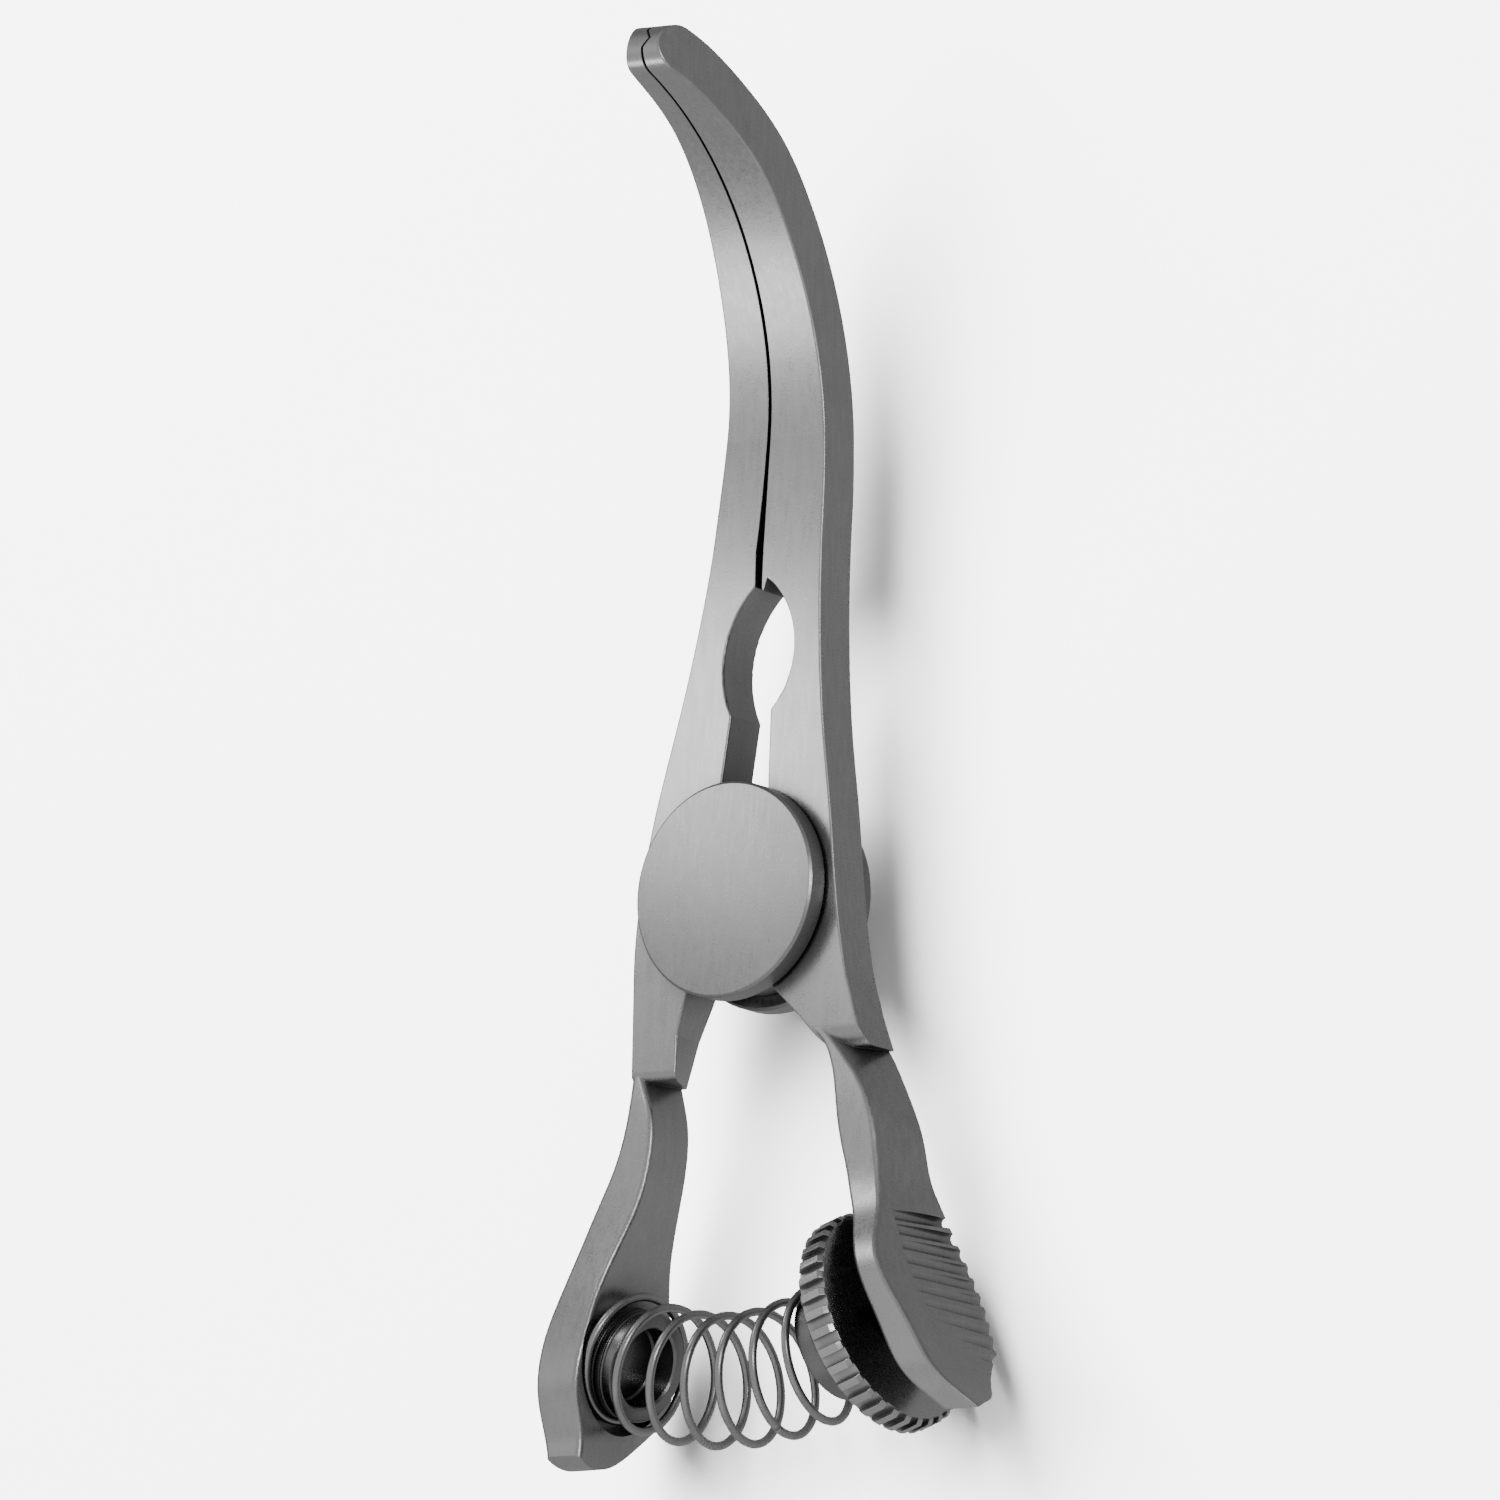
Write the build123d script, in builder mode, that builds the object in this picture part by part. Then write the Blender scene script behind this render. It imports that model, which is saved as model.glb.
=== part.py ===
from build123d import *
import os
from math import atan2, cos, degrees, radians, sin

os.makedirs("parts", exist_ok=True)

# Adjustable bulldog vessel clamp, in millimetres.
# The pivot axis is Z. The jaws point along +Y and curve up towards +Z, the handles point along -Y.
# The origin is the centre of the back pivot disc's outer face.

# Pivot stack and bars
disc_radius = 6.0
disc_height = 1.4
disc_edge = 0.14
arm_thickness = 2.75
half_thickness = arm_thickness / 2
mid_height = disc_height + half_thickness
stack_height = 2 * disc_height + arm_thickness
face_gap = 0.04
lug_radius = 5.2
lug_clearance = 0.1
lap_gap = 0.03
pin_radius = 2.0
pin_length = 4.55
press_gap = 0.01
running_gap = 0.05
arm_edge = 0.12
edge_break_start = 16.5
left_break_end = -9.5
right_break_end = -8.7

# Jaws: straight bars that bend up out of the pivot plane
jaw_root = 19.0
bend_start = 25.2
bend_radius = 19.5
bend_angle = 68
ridge_half = 0.55
ridge_height = 0.42
ridge_start = 0.2
ridge_none = 0.02
loft_half = 1.7
jaw_reach = 6.0

# Handles: a slim neck that widens into a thumb pad
handle_root = -5.0
left_roll = 0.6
right_roll = 1.15
pad_half_width = 4.22
pad_edge = 0.28
serration_count = 11
serration_start = -18.4
serration_end = -26.5
serration_radius = 0.34
serration_depth = 0.31
serration_front = 1.5
serration_back = -4.8
serration_tilt = 0.34

# Spring, its left post and the adjusting screw, all on one arc around the pivot
seat_radius = 26.25
post_angle = -15.9
wheel_angle = 23.4
screw_tilt = -4.4
recess_radius = 4.0
recess_reach = 3.0
post_radius = 3.05
post_bore_radius = 2.2
post_length = 1.9
post_tang_radius = 1.5
post_tang_length = 1.2
post_bore_depth = 1.6
post_edge = 0.12
post_grooves = (0.55, 1.15)
post_groove_radius = 0.13
spring_outer_radius = 3.8
spring_wall = 0.35
spring_clearance = 0.12
spring_cup_clearance = 0.2

# Adjusting wheel and the pieces that it pushes
wheel_radius = 6.2
wheel_width = 1.65
wheel_chamfer = 0.22
knurl_count = 36
knurl_depth = 0.34
knurl_width = 0.62
wheel_bore_radius = 1.3
washer_radius = 4.9
washer_thickness = 0.32
washer_bore_radius = 1.5
cup_flange_radius = 4.5
cup_flange_thickness = 0.5
cup_hub_radius = 3.1
cup_hub_length = 1.9
cup_bore_radius = 1.4
cup_pocket_radius = 2.4
cup_pocket_depth = 1.72
cup_edge = 0.1
slide_gap = 0.03

# Stud that carries the wheel
stud_radius = 1.25
stud_root_radius = 1.05
thread_pitch = 0.5
stud_reach = 3.2
thread_reach = 1.7
stud_tuck = 0.04
stop_radius = 2.0
stop_thickness = 0.4

mid = Plane.XY.offset(mid_height)
side = Plane(origin=(0, 0, mid_height), x_dir=(0, 1, 0), z_dir=(1, 0, 0))


def seat_plane(angle, shift=0.0, tilt=0.0):
    """Plane square to the arc around the pivot, at an angle from -Y towards +X, or tilted from square."""
    a = radians(angle)
    centre = Vector(seat_radius * sin(a), -seat_radius * cos(a), mid_height)
    along = Vector(cos(a + radians(tilt)), sin(a + radians(tilt)), 0)
    return Plane(origin=centre + along * shift, x_dir=(0, 0, 1), z_dir=along)


def screw_plane(place):
    """Plane square to the screw, at a place along it from the wheel's middle towards the right pad."""
    return seat_plane(wheel_angle, place, screw_tilt)


screw = screw_plane(0)
stud_side = Plane(origin=screw.origin, x_dir=screw.x_dir, z_dir=screw.x_dir.cross(screw.z_dir))


def bend_point(radius, angle):
    """Point of the jaw's side view, at a radius and an angle around the bend's centre."""
    a = radians(angle)
    return (bend_start + radius * sin(a), half_thickness + bend_radius - radius * cos(a))


def jaw_plane(station):
    """Plane square to the jaw: a station below 0 is that far before the bend, else it is an angle."""
    if station < 0:
        return Plane(origin=(0, bend_start + station, mid_height), x_dir=(1, 0, 0), z_dir=(0, 1, 0))
    angle = min(station, bend_angle)
    a = radians(angle)
    along = Vector(0, cos(a), sin(a))
    y, z = bend_point(bend_radius + half_thickness, angle)
    past = radians(station - angle) * (bend_radius + half_thickness)
    return Plane(origin=Vector(0, y, z + mid_height) + along * past, x_dir=(1, 0, 0), z_dir=along)


def jaw_section(station, outer, seam, ridge):
    """Outline of a jaw, deeper than the bar, with a ridge or a groove along its gripping side."""
    with BuildSketch(jaw_plane(station)) as section:
        with BuildLine():
            Polyline(
                (outer, -loft_half),
                (outer, loft_half),
                (seam, loft_half),
                (seam, ridge_half),
                (seam + ridge, 0),
                (seam, -ridge_half),
                (seam, -loft_half),
                close=True,
            )
        make_face()
    return section.sketch


def jaw_ribbon():
    """Side view of the bent bar, with its full-round nose."""
    front = bend_radius
    back = bend_radius + arm_thickness
    nose_y, nose_z = bend_point(bend_radius + half_thickness, bend_angle)
    tip = (
        nose_y + half_thickness * cos(radians(bend_angle)),
        nose_z + half_thickness * sin(radians(bend_angle)),
    )
    with BuildSketch(side) as ribbon:
        with BuildLine():
            Line((jaw_root, half_thickness), (bend_start, half_thickness))
            ThreePointArc(bend_point(front, 0), bend_point(front, bend_angle / 2), bend_point(front, bend_angle))
            ThreePointArc(bend_point(front, bend_angle), tip, bend_point(back, bend_angle))
            ThreePointArc(bend_point(back, bend_angle), bend_point(back, bend_angle / 2), bend_point(back, 0))
            Line((bend_start, -half_thickness), (jaw_root, -half_thickness))
            Line((jaw_root, -half_thickness), (jaw_root, half_thickness))
        make_face()
    return ribbon.sketch


def rim_edges(arm, lowest):
    """Edges of a bar's front and back faces, without the seam and the bottom end."""
    flats = arm.faces().filter_by(Axis.Z).edges()
    return flats.filter_by(lambda edge: lowest < edge.center().Y < edge_break_start)


def step_corner(y, roll):
    """Side view of what is rounded off the front corner where a bar ends above its handle."""
    with BuildSketch(side) as corner:
        with BuildLine():
            RadiusArc((y, half_thickness - roll), (y + roll, half_thickness), roll)
            Polyline((y + roll, half_thickness), (y, half_thickness), (y, half_thickness - roll))
        make_face()
    return corner.sketch


def handle_section(y, outer_front, outer_back, inner_front, inner_back, half_width, edge):
    """Rounded outline of a handle at one distance from the pivot."""
    with BuildSketch(Plane(origin=(0, y, mid_height), x_dir=(1, 0, 0), z_dir=(0, -1, 0))) as section:
        with BuildLine():
            Polyline(
                (outer_back, -half_width),
                (outer_front, half_width),
                (inner_front, half_width),
                (inner_back, -half_width),
                close=True,
            )
        make_face()
        if edge > 0:
            fillet(section.vertices(), edge)
    return section.sketch


def pad_end(points):
    """Sketch of all that lies past a pad's rounded end, in the side view."""
    with BuildSketch(side) as beyond:
        with BuildLine():
            Spline(*points)
            Polyline(points[-1], (points[-1][0], -9), (-40, -9), (-40, 9), (points[0][0], 9), points[0])
        make_face()
    return beyond.sketch


def serrate(sections):
    """Cuts the finger serrations across a pad's outer face, shallower towards the front edge."""
    outward = 1 if sections[0][1] > 0 else -1
    step = (serration_end - serration_start) / (serration_count - 1)
    for i in range(serration_count):
        y = serration_start + i * step
        upper, lower = next(pair for pair in zip(sections, sections[1:]) if pair[1][0] <= y)
        part = (upper[0] - y) / (upper[0] - lower[0])
        face_front = upper[1] + part * (lower[1] - upper[1])
        face_back = upper[2] + part * (lower[2] - upper[2])
        away = outward * (serration_radius - serration_depth)
        start = Vector(face_back + away, y, mid_height + serration_back)
        end = Vector(face_front + away + outward * serration_tilt, y, mid_height + serration_front)
        with Locations(Plane(origin=(start + end) / 2, z_dir=end - start).location):
            Cylinder(serration_radius, (end - start).length, mode=Mode.SUBTRACT)


# Left arm ---------------------------------------------------------------------------------------
# Each jaw station: distance before the bend or angle around it, outer side, gripping side, ridge
left_jaw = [
    (jaw_root - bend_start, -3.25, -0.22, ridge_none),
    (-3.0, -2.95, 0.0, ridge_start),
    (0, -2.72, 0.1, ridge_height),
    (12, -2.58, 0.12, ridge_height),
    (24, -2.46, 0.08, ridge_height),
    (35, -2.15, 0.04, ridge_height),
    (46, -1.72, 0.0, ridge_height),
    (57, -1.4, -0.02, ridge_height),
    (bend_angle, -1.28, -0.03, ridge_height),
    (bend_angle + 4, -0.97, -0.03, ridge_height),
]

# Each handle section: y, outer side at front and back, inner side at front and back, half width
left_shank = [
    (handle_root, -6.93, -6.93, -3.1, -3.1, half_thickness),
    (-7.6, -6.8, -6.8, -3.7, -4.2, half_thickness),
    (-10.1, -6.68, -6.68, -3.6, -4.9, half_thickness),
]
left_handle = [
    (-9.0, -6.7, -6.7, -5.95, -5.0, 1.33),
    (-10.4, -6.67, -6.67, -5.75, -4.95, 1.4),
    (-12.1, -6.72, -6.72, -4.98, -4.7, 1.6),
    (-14.6, -7.25, -7.25, -4.88, -4.72, 1.7),
    (-17.1, -8.12, -8.12, -5.3, -5.3, 1.98),
    (-19.7, -8.78, -8.78, -6.1, -6.1, 2.6),
    (-22.2, -9.25, -9.25, -6.6, -6.6, 3.4),
    (-24.6, -9.63, -9.63, -6.75, -6.75, 4.05),
    (-27.5, -9.75, -9.75, -6.97, -6.97, pad_half_width),
    (-32.6, -8.7, -8.7, -7.05, -7.05, pad_half_width),
]
left_end = [(-28.8, 4.5), (-31.4, 2.9), (-31.0, -0.2), (-26.6, -4.5)]

with BuildPart() as left_jaw_part:
    loft([jaw_section(*station) for station in left_jaw])
    extrude(jaw_ribbon(), amount=jaw_reach, both=True, mode=Mode.INTERSECT)
    outer_face = left_jaw_part.faces().sort_by(Axis.X)[0]
    fillet(outer_face.edges().filter_by(lambda edge: edge.center().Y > jaw_root + arm_edge), arm_edge)

with BuildPart() as left_arm:
    # Bar, with its half of the oval window and of the slot below it
    with BuildSketch(mid.offset(-half_thickness)):
        with BuildLine():
            Spline((-3.25, jaw_root), (-3.98, 14.3), (-4.9, 9.94), (-5.95, 5.57), (-6.85, 0), (-6.93, handle_root))
            Line((-6.93, handle_root), (-3.1, handle_root))
            Line((-3.1, handle_root), (-1.95, 3.0))
            Line((-1.95, 3.0), (-1.62, 6.46))
            Line((-1.62, 6.46), (-1.26, 9.93))
            ThreePointArc((-1.26, 9.93), (-1.95, 13.3), (-0.14, 17.0))
            Line((-0.14, 17.0), (-0.22, jaw_root))
            Line((-0.22, jaw_root), (-3.25, jaw_root))
        make_face()
    extrude(amount=arm_thickness)
    with BuildSketch(mid.offset(-half_thickness)):
        Circle(lug_radius)
    extrude(amount=arm_thickness)
    loft([handle_section(*station, 0) for station in left_shank], ruled=True)
    fillet(rim_edges(left_arm, left_break_end), arm_edge)
    extrude(step_corner(left_shank[-1][0], left_roll), amount=20, both=True, mode=Mode.SUBTRACT)
    add(left_jaw_part.part)
    loft([handle_section(*station, pad_edge) for station in left_handle])
    extrude(pad_end(left_end), amount=20, both=True, mode=Mode.SUBTRACT)
    serrate(left_handle)
    # Lap joint: this arm keeps the front half
    with BuildSketch(mid.offset(lap_gap)):
        Circle(lug_radius + lug_clearance)
    extrude(amount=-arm_thickness, mode=Mode.SUBTRACT)
    with BuildSketch(mid):
        Circle(pin_radius + running_gap)
    extrude(amount=arm_thickness, both=True, mode=Mode.SUBTRACT)
    # Recess and hole for the spring post
    with BuildSketch(seat_plane(post_angle)):
        Circle(recess_radius)
    extrude(amount=recess_reach, mode=Mode.SUBTRACT)
    with BuildSketch(seat_plane(post_angle)):
        Circle(post_tang_radius + press_gap)
    extrude(amount=-post_tang_length - press_gap, mode=Mode.SUBTRACT)

left_arm.part.label = "left_arm"
export_step(left_arm.part, "parts/left_arm.step")

# Right arm --------------------------------------------------------------------------------------
right_jaw = [
    (jaw_root - bend_start, 4.28, 0.3, ridge_none),
    (-3.0, 4.22, 0.32, ridge_start),
    (0, 4.05, 0.34, ridge_height),
    (12, 3.7, 0.34, ridge_height),
    (24, 3.4, 0.28, ridge_height),
    (35, 3.2, 0.22, ridge_height),
    (46, 3.0, 0.17, ridge_height),
    (57, 2.4, 0.13, ridge_height),
    (bend_angle, 1.68, 0.12, ridge_height),
    (bend_angle + 4, 1.0, 0.12, ridge_height),
]

right_shank = [
    (handle_root, 7.72, 7.72, 2.3, 2.3, half_thickness),
    (-7.1, 8.45, 8.5, 4.66, 4.66, half_thickness),
    (-8.8, 9.15, 9.25, 6.4, 6.4, half_thickness),
]
right_handle = [
    (-7.8, 6.3, 8.75, 5.45, 5.45, half_thickness),
    (-9.0, 7.4, 9.4, 6.6, 6.55, 1.38),
    (-9.8, 8.15, 9.85, 6.95, 6.9, 1.42),
    (-11.0, 9.15, 10.4, 7.3, 7.25, 1.5),
    (-12.6, 10.0, 11.15, 7.65, 7.6, 1.6),
    (-15.3, 10.75, 11.95, 8.5, 8.45, 1.75),
    (-17.1, 11.3, 12.5, 9.2, 9.15, 2.05),
    (-19.2, 12.1, 13.1, 10.3, 10.3, 3.0),
    (-21.4, 13.1, 13.75, 11.4, 11.35, 4.05),
    (-23.6, 14.6, 14.7, 12.6, 12.45, pad_half_width),
    (-25.5, 16.0, 15.4, 13.7, 13.35, pad_half_width),
    (-27.6, 17.6, 16.65, 15.15, 14.7, pad_half_width),
    (-31.5, 20.0, 18.6, 18.0, 17.4, pad_half_width),
]
right_end = [(-30.6, 4.5), (-29.4, 2.4), (-28.4, -0.4), (-26.3, -3.1), (-24.9, -4.5)]

with BuildPart() as right_jaw_part:
    loft([jaw_section(*station) for station in right_jaw])
    extrude(jaw_ribbon(), amount=jaw_reach, both=True, mode=Mode.INTERSECT)
    outer_face = right_jaw_part.faces().sort_by(Axis.X)[-1]
    fillet(outer_face.edges().filter_by(lambda edge: edge.center().Y > jaw_root + arm_edge), arm_edge)

with BuildPart() as right_arm:
    # Bar, with its half of the oval window and the small lip at the window's top
    with BuildSketch(mid.offset(-half_thickness)):
        with BuildLine():
            Spline((4.28, jaw_root), (4.4, 16.2), (4.75, 12), (5.22, 8.5), (5.85, 5), (6.62, 0), (7.72, handle_root))
            Line((7.72, handle_root), (2.3, handle_root))
            Line((2.3, handle_root), (1.6, 3.0))
            Line((1.6, 3.0), (1.54, 5.98))
            Line((1.54, 5.98), (1.4, 10.15))
            ThreePointArc((1.4, 10.15), (2.75, 13.4), (0.66, 17.45))
            Polyline((0.66, 17.45), (0.46, 16.75), (0.34, 16.95), (0.3, jaw_root), (4.28, jaw_root))
        make_face()
    extrude(amount=arm_thickness)
    with BuildSketch(mid.offset(-half_thickness)):
        Circle(lug_radius)
    extrude(amount=arm_thickness)
    loft([handle_section(*station, 0) for station in right_shank], ruled=True)
    fillet(rim_edges(right_arm, right_break_end), arm_edge)
    extrude(step_corner(right_shank[-1][0], right_roll), amount=20, both=True, mode=Mode.SUBTRACT)
    add(right_jaw_part.part)
    loft([handle_section(*station, pad_edge) for station in right_handle])
    extrude(pad_end(right_end), amount=30, both=True, mode=Mode.SUBTRACT)
    serrate(right_handle)
    # Lap joint: this arm keeps the back half
    with BuildSketch(mid.offset(-lap_gap)):
        Circle(lug_radius + lug_clearance)
    extrude(amount=arm_thickness, mode=Mode.SUBTRACT)
    with BuildSketch(mid):
        Circle(pin_radius + press_gap)
    extrude(amount=arm_thickness, both=True, mode=Mode.SUBTRACT)
    # Blind hole that holds the stud's root
    with BuildSketch(screw_plane(stud_reach)):
        Circle(stud_root_radius + press_gap)
    extrude(amount=-stud_reach / 2, mode=Mode.SUBTRACT)

right_arm.part.label = "right_arm"
export_step(right_arm.part, "parts/right_arm.step")

# Pivot ------------------------------------------------------------------------------------------
disc_thickness = disc_height - face_gap
pin_pocket = (pin_length - arm_thickness) / 2

with BuildPart() as front_pivot_disc:
    with BuildSketch(Plane.XY.offset(stack_height)):
        Circle(disc_radius)
    extrude(amount=-disc_thickness)
    chamfer(front_pivot_disc.edges().filter_by(GeomType.CIRCLE), disc_edge)
    with BuildSketch(mid):
        Circle(pin_radius + press_gap)
    extrude(amount=pin_length / 2 + press_gap, mode=Mode.SUBTRACT)
front_pivot_disc.part.label = "front_pivot_disc"
export_step(front_pivot_disc.part, "parts/front_pivot_disc.step")

with BuildPart() as rear_pivot_disc:
    with BuildSketch(Plane.XY):
        Circle(disc_radius)
    extrude(amount=disc_thickness)
    chamfer(rear_pivot_disc.edges().filter_by(GeomType.CIRCLE), disc_edge)
    with BuildSketch(mid):
        Circle(pin_radius + press_gap)
    extrude(amount=-pin_length / 2 - press_gap, mode=Mode.SUBTRACT)
rear_pivot_disc.part.label = "rear_pivot_disc"
export_step(rear_pivot_disc.part, "parts/rear_pivot_disc.step")

with BuildPart() as pivot_pin:
    with BuildSketch(mid):
        Circle(pin_radius)
    extrude(amount=pin_length / 2, both=True)
    chamfer(pivot_pin.edges().filter_by(GeomType.CIRCLE), disc_edge)
pivot_pin.part.label = "pivot_pin"
export_step(pivot_pin.part, "parts/pivot_pin.step")

# Left spring post: a grooved hollow stub with a tang in the left pad -----------------------------
with BuildPart() as left_spring_post:
    with BuildSketch(seat_plane(post_angle, press_gap)):
        Circle(post_radius)
    extrude(amount=post_length)
    with BuildSketch(seat_plane(post_angle, press_gap + post_length)):
        Circle(post_bore_radius)
    extrude(amount=-post_bore_depth, mode=Mode.SUBTRACT)
    chamfer(left_spring_post.faces().filter_by(GeomType.PLANE).edges(), post_edge)
    for place in post_grooves:
        with Locations(seat_plane(post_angle, place).location):
            Torus(post_radius, post_groove_radius, mode=Mode.SUBTRACT)
    with BuildSketch(seat_plane(post_angle, press_gap)):
        Circle(post_tang_radius)
    extrude(amount=-post_tang_length)
left_spring_post.part.label = "left_spring_post"
export_step(left_spring_post.part, "parts/left_spring_post.step")

# Adjusting screw --------------------------------------------------------------------------------
washer_face = -wheel_width / 2 - slide_gap
cup_face = washer_face - washer_thickness - slide_gap
flange_face = cup_face - cup_flange_thickness
hub_end = flange_face - cup_hub_length
stud_end = hub_end + stud_tuck

with BuildPart() as adjusting_wheel:
    with BuildSketch(screw_plane(-wheel_width / 2)):
        Circle(wheel_radius)
    extrude(amount=wheel_width)
    chamfer(adjusting_wheel.edges().filter_by(GeomType.CIRCLE), wheel_chamfer)
    with BuildSketch(screw_plane(-wheel_width / 2)):
        with PolarLocations(wheel_radius, knurl_count):
            Rectangle(2 * knurl_depth, knurl_width)
        Circle(wheel_bore_radius)
    extrude(amount=wheel_width, mode=Mode.SUBTRACT)
adjusting_wheel.part.label = "adjusting_wheel"
export_step(adjusting_wheel.part, "parts/adjusting_wheel.step")

with BuildPart() as thrust_washer:
    with BuildSketch(screw_plane(washer_face)):
        Circle(washer_radius)
        Circle(washer_bore_radius, mode=Mode.SUBTRACT)
    extrude(amount=-washer_thickness)
thrust_washer.part.label = "thrust_washer"
export_step(thrust_washer.part, "parts/thrust_washer.step")

with BuildPart() as spring_cup:
    with BuildSketch(screw_plane(cup_face)):
        Circle(cup_flange_radius)
    extrude(amount=-cup_flange_thickness)
    with BuildSketch(screw_plane(flange_face)):
        Circle(cup_hub_radius)
    extrude(amount=-cup_hub_length)
    chamfer(spring_cup.edges().filter_by(GeomType.CIRCLE), cup_edge)
    with BuildSketch(screw_plane(hub_end)):
        Circle(cup_pocket_radius)
    extrude(amount=cup_pocket_depth, mode=Mode.SUBTRACT)
    with BuildSketch(screw):
        Circle(cup_bore_radius)
    extrude(amount=hub_end, mode=Mode.SUBTRACT)
spring_cup.part.label = "spring_cup"
export_step(spring_cup.part, "parts/spring_cup.step")

with BuildPart() as adjusting_stud:
    turns = int((thread_reach - stud_end) / thread_pitch)
    with BuildSketch(stud_side):
        with BuildLine():
            thread = [(0, stud_end), (stud_root_radius, stud_end)]
            for turn in range(turns):
                thread.append((stud_radius, stud_end + (turn + 0.5) * thread_pitch))
                thread.append((stud_root_radius, stud_end + (turn + 1) * thread_pitch))
            Polyline(*thread, (stud_root_radius, stud_reach), (0, stud_reach), close=True)
        make_face()
    revolve(axis=Axis(stud_side.origin, stud_side.y_dir))
adjusting_stud.part.label = "adjusting_stud"
export_step(adjusting_stud.part, "parts/adjusting_stud.step")

with BuildPart() as stud_stop_ring:
    with BuildSketch(screw_plane(stud_end)):
        Circle(stop_radius)
        Circle(stud_radius + press_gap, mode=Mode.SUBTRACT)
    extrude(amount=stop_thickness)
stud_stop_ring.part.label = "stud_stop_ring"
export_step(stud_stop_ring.part, "parts/stud_stop_ring.step")

# Return spring, as the sleeve that its coils fill ------------------------------------------------
spring_start = post_angle + degrees(spring_clearance / seat_radius)
flange = screw_plane(flange_face - spring_cup_clearance).origin
spring_end = degrees(atan2(flange.X, -flange.Y))

with BuildPart() as return_spring:
    with BuildSketch(seat_plane(spring_start)):
        Circle(spring_outer_radius)
        Circle(spring_outer_radius - spring_wall, mode=Mode.SUBTRACT)
    revolve(axis=Axis.Z, revolution_arc=spring_end - spring_start)
return_spring.part.label = "return_spring"
export_step(return_spring.part, "parts/return_spring.step")
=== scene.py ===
import bpy
import math
from mathutils import Matrix, Vector


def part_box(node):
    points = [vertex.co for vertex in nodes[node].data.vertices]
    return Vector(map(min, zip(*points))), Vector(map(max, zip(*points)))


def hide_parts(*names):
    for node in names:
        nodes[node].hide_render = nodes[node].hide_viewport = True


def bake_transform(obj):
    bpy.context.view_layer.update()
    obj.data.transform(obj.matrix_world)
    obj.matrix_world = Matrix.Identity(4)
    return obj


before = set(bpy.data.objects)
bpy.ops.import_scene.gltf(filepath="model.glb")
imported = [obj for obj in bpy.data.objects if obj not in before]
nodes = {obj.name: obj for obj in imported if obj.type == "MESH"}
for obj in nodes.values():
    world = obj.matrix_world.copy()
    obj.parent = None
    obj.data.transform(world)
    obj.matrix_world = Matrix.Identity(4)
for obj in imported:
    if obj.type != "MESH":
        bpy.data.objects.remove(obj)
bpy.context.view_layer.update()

MM = 0.001
DISC_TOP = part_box("front_pivot_disc")[1].z
MID = Vector((0, 0, DISC_TOP / 2))
FLOOR_Z = min(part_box(name)[0].z for name in nodes)


# Camera: a long lens above the front disc, on the wheel's side ------------------------------------
TOWARDS = Vector((0.605, -0.1785, 0.777)).normalized()
ROUGH_UP = Vector((0.0626, 0.9825, 0.177))
UP = (ROUGH_UP - TOWARDS * ROUGH_UP.dot(TOWARDS)).normalized()
RIGHT = UP.cross(TOWARDS)
VIEW_WIDTH = 81.75 * MM
LENS = 800
SENSOR = 36
AIM = MID + (-0.2125 * RIGHT + 8.055 * UP) * MM
CAMERA_REACH = 20

camera_data = bpy.data.cameras.new("camera")
camera_data.lens = LENS
camera_data.sensor_width = SENSOR
camera_data.clip_end = CAMERA_REACH
camera = bpy.data.objects.new("camera", camera_data)
bpy.context.scene.collection.objects.link(camera)
camera_turn = Matrix((RIGHT, UP, TOWARDS)).transposed().to_4x4()
camera.matrix_world = Matrix.Translation(AIM + TOWARDS * VIEW_WIDTH * LENS / SENSOR) @ camera_turn
bpy.context.scene.camera = camera


# Materials -----------------------------------------------------------------------------------------
NOISE_BAND = (0.3, 0.7)
PROBE_SAMPLES = 6


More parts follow.
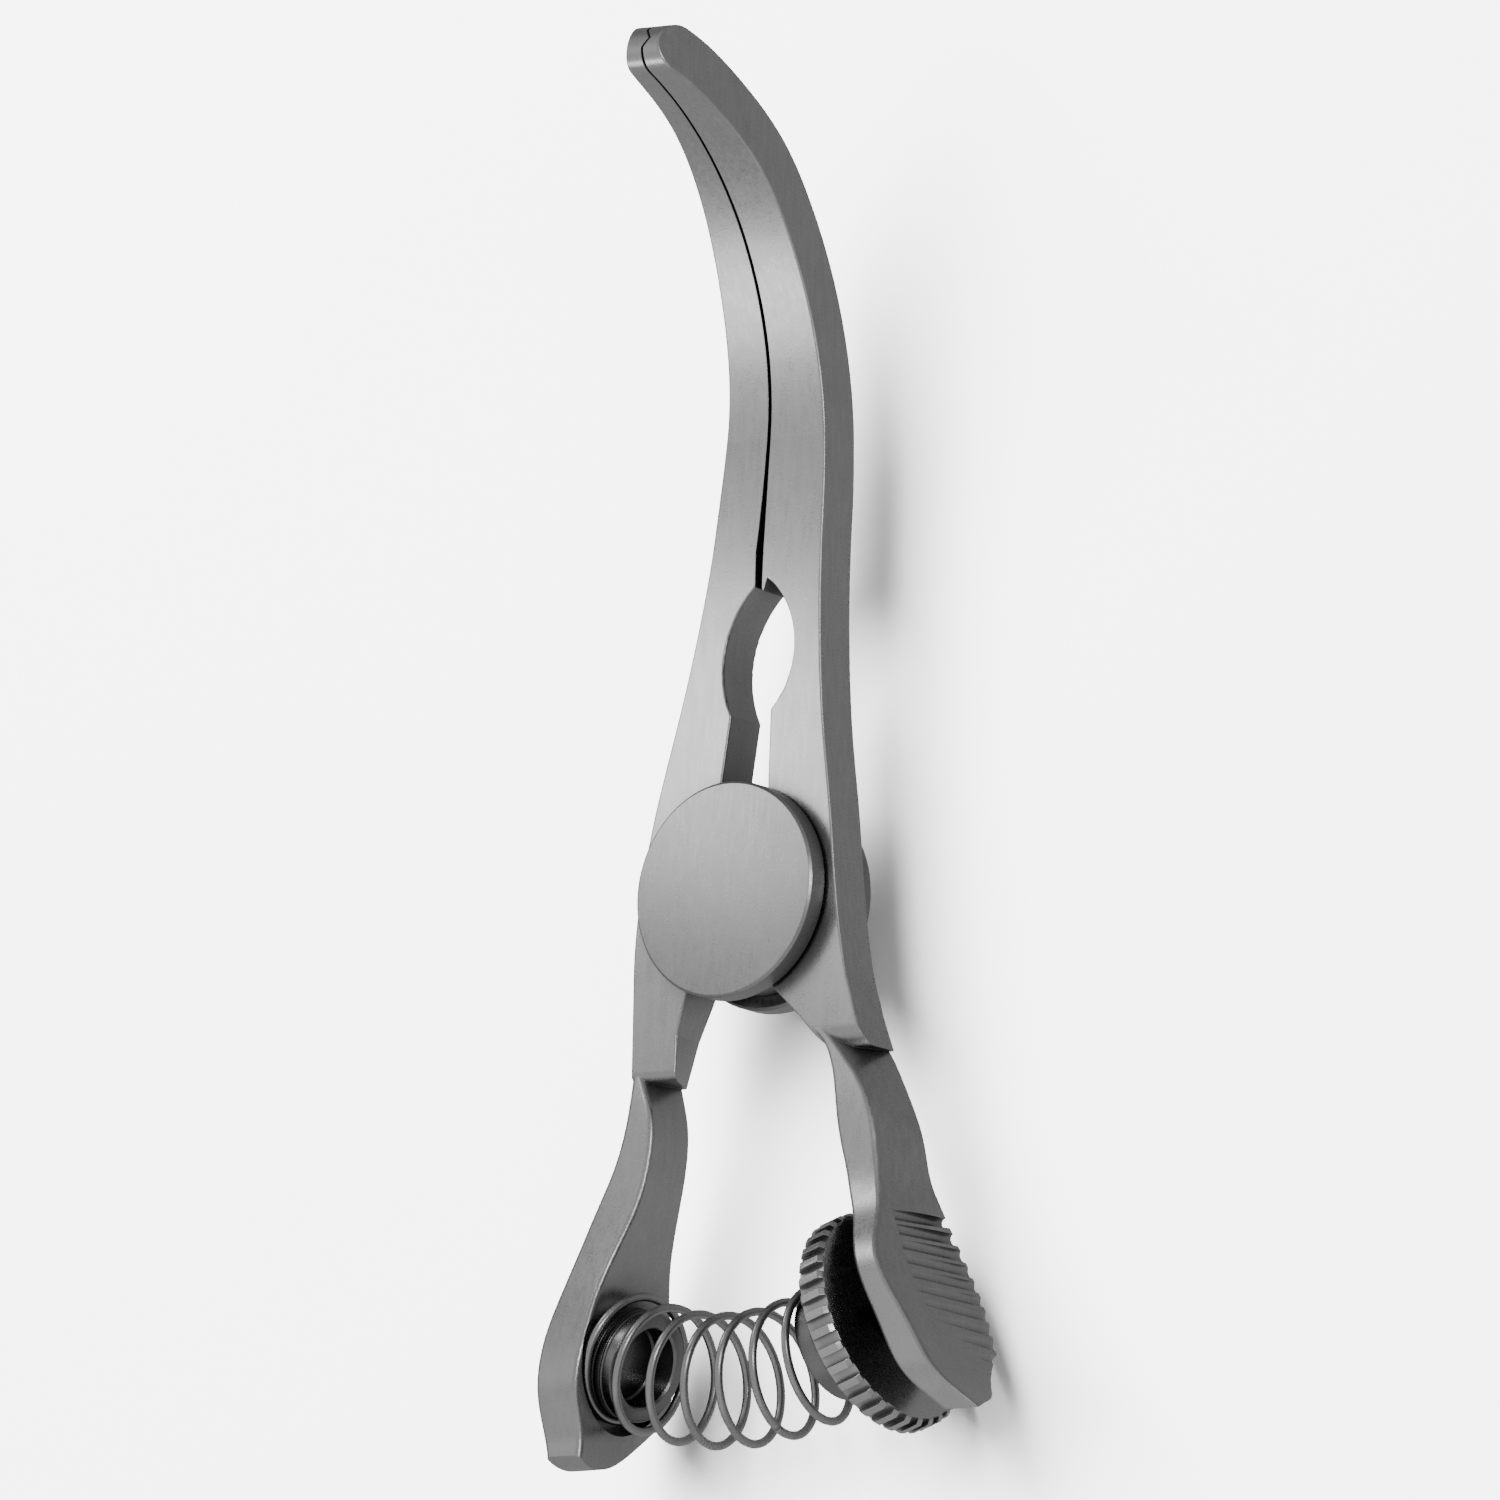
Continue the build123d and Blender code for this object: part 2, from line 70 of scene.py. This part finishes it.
class Shader:
    """A node material with short calls for the nodes that the finishes share."""

    def __init__(self, name):
        self.material = bpy.data.materials.new(name)
        self.material.use_nodes = True
        self.tree = self.material.node_tree
        self.surface = self.tree.nodes["Principled BSDF"]
        self.where = self.tree.nodes.new("ShaderNodeTexCoord").outputs["Object"]

    def node(self, kind, **inputs):
        made = self.tree.nodes.new("ShaderNode" + kind)
        for key, value in inputs.items():
            self.feed(made.inputs[key.replace("_", " ")], value)
        return made

    def feed(self, socket, value):
        if isinstance(value, bpy.types.NodeSocket):
            self.tree.links.new(value, socket)
        else:
            socket.default_value = value

    def noise(self, scale, detail, roughness, stretch=(1, 1, 1), turn=(0, 0, 0)):
        """Noise with scale features a metre, drawn out along any axis whose stretch is under 1.

        The turn comes after the stretch: it changes the pattern and leaves the grain's direction.
        """
        placed = self.node("Mapping", Vector=self.where, Rotation=turn, Scale=stretch)
        made = self.node(
            "TexNoise", Vector=placed.outputs[0], Scale=scale, Detail=detail, Roughness=roughness
        )
        return made.outputs["Fac"]

    def ramp(self, value, low, high, to_low, to_high):
        """Maps the band from low to high onto to_low to to_high and holds both ends."""
        made = self.node("MapRange", Value=value)
        for index, number in enumerate((low, high, to_low, to_high), start=1):
            made.inputs[index].default_value = number
        return made.outputs[0]

    def spread(self, noise, amount):
        """Centres a noise on 0 and lets it swing by the amount either way."""
        return self.ramp(noise, *NOISE_BAND, -amount, amount)

    def maths(self, operation, first, second):
        made = self.tree.nodes.new("ShaderNodeMath")
        made.operation = operation
        self.feed(made.inputs[0], first)
        self.feed(made.inputs[1], second)
        return made.outputs[0]

    def mix(self, factor, first, second):
        made = self.tree.nodes.new("ShaderNodeMix")
        made.data_type = "RGBA"
        for index, value in ((0, factor), (6, first), (7, second)):
            self.feed(made.inputs[index], value)
        return made.outputs[2]

    def bump(self, height, strength, distance, normal):
        made = self.node("Bump", Height=height, Strength=strength, Distance=distance, Normal=normal)
        return made.outputs[0]

    def crevice(self, reach):
        """Falls from 1 on open faces towards 0 in recesses and narrow gaps."""
        made = self.node("AmbientOcclusion", Distance=reach)
        made.samples = PROBE_SAMPLES
        return made.outputs["AO"]

    def edge_normal(self, radius):
        """A normal that rounds sharp edges over the radius."""
        made = self.node("Bevel", Radius=radius)
        made.samples = PROBE_SAMPLES
        return made.outputs[0]


CLOUD_SCALE = 420
SPECK_SCALE = 7000
CLOUD_TINT = 0.35
LINE_TINT = 0.4
SPECK_TINT = 0.35
DARK_SHARE = 0.86
BRIGHT_SHARE = 1.12
DARK_BLUE_SHARE = 0.865
# Near-black colour of the painted shade in recesses, gaps and beside neighbouring parts.
PAINTED_SHADE = (0.012, 0.012, 0.012, 1)
CREVICE_BAND = (0.25, 0.9)
LINE_GLOSS = 0.04
SPECK_GLOSS = 0.03
LINE_STRENGTH = 0.12
LINE_DEPTH = 0.03 * MM
SPECK_STRENGTH = 0.2
SPECK_DEPTH = 0.02 * MM
EDGE_RADIUS = 0.06 * MM


def steel(name, tone, gloss, grain, reach, clear, stretch=(1, 1, 1), turn=(0, 0, 0), relief=1.0):
    """Stainless steel: mottled tone, drawn grain, fine speckle, softened edges, and painted shade
    that darkens the colour in recesses, narrow gaps and beside neighbouring parts.

    The reach is how far a recess is felt by the painted shade, and clear is the share of the tone
    left deep inside one.
    """
    made = Shader(name)
    cloud = made.noise(CLOUD_SCALE, detail=5, roughness=0.65)
    lines = made.noise(grain, detail=3, roughness=0.6, stretch=stretch, turn=turn)
    specks = made.noise(SPECK_SCALE, detail=2, roughness=0.6)
    tint = made.maths("ADD", made.spread(cloud, CLOUD_TINT), made.spread(lines, LINE_TINT))
    tint = made.maths("ADD", tint, made.spread(specks, SPECK_TINT))
    most = CLOUD_TINT + LINE_TINT + SPECK_TINT
    shade = made.ramp(tint, -most, most, 0, 1)
    dark = (tone * DARK_SHARE, tone * DARK_SHARE, tone * DARK_BLUE_SHARE, 1)
    bright = (tone * BRIGHT_SHARE, tone * BRIGHT_SHARE, tone * BRIGHT_SHARE, 1)
    clean = made.mix(shade, dark, bright)
    # Painted shade: ambient occlusion darkens the base colour towards near black in recesses, narrow
    # gaps and where parts meet.
    open_face = made.ramp(made.crevice(reach), *CREVICE_BAND, clear, 1)
    made.feed(made.surface.inputs["Base Color"], made.mix(open_face, PAINTED_SHADE, clean))
    made.surface.inputs["Metallic"].default_value = 1.0
    line_gloss = made.ramp(lines, *NOISE_BAND, gloss - LINE_GLOSS, gloss + LINE_GLOSS)
    rough = made.maths("ADD", line_gloss, made.spread(specks, SPECK_GLOSS))
    made.feed(made.surface.inputs["Roughness"], rough)
    fine = made.bump(lines, LINE_STRENGTH * relief, LINE_DEPTH, made.edge_normal(EDGE_RADIUS))
    rough_normal = made.bump(specks, SPECK_STRENGTH * relief, SPECK_DEPTH, fine)
    made.feed(made.surface.inputs["Normal"], rough_normal)
    return made.material


DRAWN_ALONG_Y = (1, 0.12, 1)
DISC_PATTERN_TURN = (0, 0, math.radians(-22))
arm_steel = steel(
    "arm_steel", tone=0.52, gloss=0.3, grain=3200, reach=6 * MM, clear=0.2, stretch=DRAWN_ALONG_Y
)
pivot_steel = steel(
    "pivot_steel", tone=0.36, gloss=0.31, grain=5200, reach=3 * MM, clear=0.05,
    stretch=DRAWN_ALONG_Y, turn=DISC_PATTERN_TURN,
)
turned_steel = steel("turned_steel", tone=0.34, gloss=0.28, grain=3000, reach=4 * MM, clear=0)
wheel_steel = steel("wheel_steel", tone=0.6, gloss=0.26, grain=2600, reach=0.7 * MM, clear=0)
spring_wire = steel(
    "spring_wire", tone=0.46, gloss=0.28, grain=900, reach=2 * MM, clear=0.75, relief=0.05
)

finishes = {
    "left_arm": arm_steel,
    "right_arm": arm_steel,
    "front_pivot_disc": pivot_steel,
    "rear_pivot_disc": pivot_steel,
    "pivot_pin": pivot_steel,
    "left_spring_post": turned_steel,
    "spring_cup": turned_steel,
    "thrust_washer": turned_steel,
    "adjusting_stud": turned_steel,
    "stud_stop_ring": turned_steel,
    "adjusting_wheel": wheel_steel,
    "return_spring": spring_wire,
}
for name, finish in finishes.items():
    data = nodes[name].data
    data.materials.clear()
    data.materials.append(finish)


# Return spring: a wire coiled along the arc around the pivot ---------------------------------------
ARC_RADIUS = 26.25 * MM
BOW = 0.65 * MM
SAG = 0.3 * MM
COIL_RADIUS = 3.55 * MM
WIRE_RADIUS = 0.24 * MM
PITCH_ANGLE = math.radians(4.95)
SEAT_ANGLE = math.radians(-15.3)
FIRST_FRONT = math.radians(-14.96)
FLANGE_ANGLE = math.radians(19.0)
END_TURNS = 0.6
LAST_TURNS = 0.7
FREE_TURNS = (FLANGE_ANGLE - FIRST_FRONT) / PITCH_ANGLE
TOTAL_TURNS = END_TURNS + FREE_TURNS + LAST_TURNS
SPLIT_TURN = 5.4
STEPS_PER_TURN = 64
WIRE_SIDES = 14
TANGENT_STEP = 0.002


def coil_angle(turn):
    """Angle around the pivot at a count of turns: closed at both ends, evenly open between."""
    if turn < END_TURNS:
        return SEAT_ANGLE + (FIRST_FRONT - SEAT_ANGLE) * turn / END_TURNS
    return FIRST_FRONT + min(turn - END_TURNS, FREE_TURNS) * PITCH_ANGLE


def arc_point(angle, radius):
    """Point at a radius from the pivot, in the arms' middle plane."""
    return Vector((radius * math.sin(angle), -radius * math.cos(angle), MID.z))


def coil_point(turn):
    """Centre of the wire. The spring's middle line bows out between its seats."""
    angle = coil_angle(turn)
    part = (angle - SEAT_ANGLE) / (FLANGE_ANGLE - SEAT_ANGLE)
    middle = ARC_RADIUS + BOW * math.sin(math.pi * part) - SAG * (1 - part)
    phase = math.pi / 2 + 2 * math.pi * (turn - END_TURNS)
    rise = Vector((0, 0, COIL_RADIUS * math.sin(phase)))
    return arc_point(angle, middle + COIL_RADIUS * math.cos(phase)) + rise


def skin(ring_count, sides):
    """Quads between neighbouring rings of points, each ring numbered after the one before."""
    faces = []
    for ring in range(ring_count - 1):
        for side in range(sides):
            a = ring * sides + side
            b = ring * sides + (side + 1) % sides
            faces.append((a, b, b + sides, a + sides))
    return faces


def smooth_object(name, points, faces, material):
    """A smooth-shaded mesh in the scene, with one material."""
    mesh = bpy.data.meshes.new(name)
    mesh.from_pydata(points, [], faces)
    mesh.polygons.foreach_set("use_smooth", [True] * len(mesh.polygons))
    mesh.update()
    made = bpy.data.objects.new(name, mesh)
    bpy.context.scene.collection.objects.link(made)
    mesh.materials.append(material)
    return made


def wire(name, first_turn, last_turn):
    """A tube swept along the coil between two counts of turns, with closed flat ends."""
    count = int((last_turn - first_turn) * STEPS_PER_TURN)
    points = []
    for step in range(count + 1):
        turn = first_turn + (last_turn - first_turn) * step / count
        centre = coil_point(turn)
        along = (coil_point(turn + TANGENT_STEP) - coil_point(turn - TANGENT_STEP)).normalized()
        angle = coil_angle(turn)
        axis = Vector((math.cos(angle), math.sin(angle), 0))
        across = (axis - along * axis.dot(along)).normalized()
        other = along.cross(across)
        for side in range(WIRE_SIDES):
            around = 2 * math.pi * side / WIRE_SIDES
            offset = (across * math.cos(around) + other * math.sin(around)) * WIRE_RADIUS
            points.append(tuple(centre + offset))
    faces = skin(count + 1, WIRE_SIDES)
    faces.append(tuple(reversed(range(WIRE_SIDES))))
    faces.append(tuple(range(count * WIRE_SIDES, (count + 1) * WIRE_SIDES)))
    made = smooth_object(name, points, faces, spring_wire)
    return made


left_coils = wire("spring_coils", 0, SPLIT_TURN)
right_coils = wire("spring_end_coils", SPLIT_TURN, TOTAL_TURNS)
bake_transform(left_coils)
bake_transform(right_coils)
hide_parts("return_spring")
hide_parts("return_spring")


# Floor: a round studio sweep, flat out past the camera and curved up into a low wall ---------------
FLAT_RADIUS = 2.6
SWEEP_RADIUS = 0.8
SWEEP_STEPS = 10
SWEEP_SIDES = 48
FLOOR_DARK = (0.86, 0.86, 0.86, 1)
FLOOR_PALE = (0.89, 0.89, 0.89, 1)
FLOOR_CLOUD_SCALE = 9
FLOOR_ROUGHNESS = 0.8

floor_shader = Shader("floor")
floor_cloud = floor_shader.noise(FLOOR_CLOUD_SCALE, detail=3, roughness=0.5)
floor_tone = floor_shader.mix(floor_cloud, FLOOR_DARK, FLOOR_PALE)
floor_shader.feed(floor_shader.surface.inputs["Base Color"], floor_tone)
floor_shader.surface.inputs["Roughness"].default_value = FLOOR_ROUGHNESS

sweep_points = []
for step in range(SWEEP_STEPS, -1, -1):
    rise = math.radians(90) * step / SWEEP_STEPS
    radius = FLAT_RADIUS + SWEEP_RADIUS * math.sin(rise)
    z = FLOOR_Z + SWEEP_RADIUS * (1 - math.cos(rise))
    for side in range(SWEEP_SIDES):
        around = 2 * math.pi * side / SWEEP_SIDES
        sweep_points.append((radius * math.cos(around), radius * math.sin(around), z))
flat_face = tuple(range(SWEEP_STEPS * SWEEP_SIDES, (SWEEP_STEPS + 1) * SWEEP_SIDES))
sweep_faces = [flat_face] + skin(SWEEP_STEPS + 1, SWEEP_SIDES)
floor = smooth_object("floor", sweep_points, sweep_faces, floor_shader.material)
floor.visible_glossy = False
floor.visible_shadow = False


# Light ---------------------------------------------------------------------------------------------
# The metal mirrors the world, which is dimmer below than above and dims a little towards the jaws'
# side, and the key, glow and rim boxes. It doesn't mirror the wash box or the floor, so the wash
# lights only the floor.
RISE_BAND = (0.2, 0.46)
RISE_STRENGTH = (0.3, 0.5)
STRENGTH_PER_Y = -0.1

world = bpy.data.worlds.new("world")
world.use_nodes = True
sky = world.node_tree.nodes
links = world.node_tree.links
split = sky.new("ShaderNodeSeparateXYZ")
links.new(sky.new("ShaderNodeTexCoord").outputs["Generated"], split.inputs[0])
height = sky.new("ShaderNodeMapRange")
height.interpolation_type = "SMOOTHSTEP"
for index, number in enumerate(RISE_BAND + RISE_STRENGTH, start=1):
    height.inputs[index].default_value = number
links.new(split.outputs["Z"], height.inputs["Value"])
slant = sky.new("ShaderNodeMath")
slant.operation = "MULTIPLY_ADD"
slant.inputs[1].default_value = STRENGTH_PER_Y
links.new(split.outputs["Y"], slant.inputs[0])
links.new(height.outputs[0], slant.inputs[2])
links.new(slant.outputs[0], sky["Background"].inputs["Strength"])
sky["Background"].inputs["Color"].default_value = (1, 1, 1, 1)
bpy.context.scene.world = world


def soft_light(name, aim_at, direction, distance, size, power, mirrored=True):
    """A square soft box facing a point from a distance along a direction."""
    data = bpy.data.lights.new(name, "AREA")
    data.shape = "SQUARE"
    data.size = size
    data.energy = power
    lamp = bpy.data.objects.new(name, data)
    bpy.context.scene.collection.objects.link(lamp)
    away = Vector(direction).normalized()
    lamp.location = aim_at + away * distance
    lamp.rotation_euler = away.to_track_quat("Z", "Y").to_euler()
    lamp.visible_camera = False
    lamp.visible_glossy = mirrored


ARMS_NEAR_PIVOT = Vector((0, 8 * MM, MID.z))
soft_light("wash", AIM, (-0.3, 0.4, 0.86), distance=0.9, size=1.0, power=90, mirrored=False)
soft_light("key", AIM, (-0.605, 0.15, 0.777), distance=0.5, size=0.22, power=0.03)
soft_light(
    "glow", ARMS_NEAR_PIVOT, (-0.605, 0.18, 0.777), distance=38 * MM, size=16 * MM, power=0.0021
)
soft_light("rim", AIM, (0.777, 0.18, 0.605), distance=0.5, size=0.12, power=0.35)
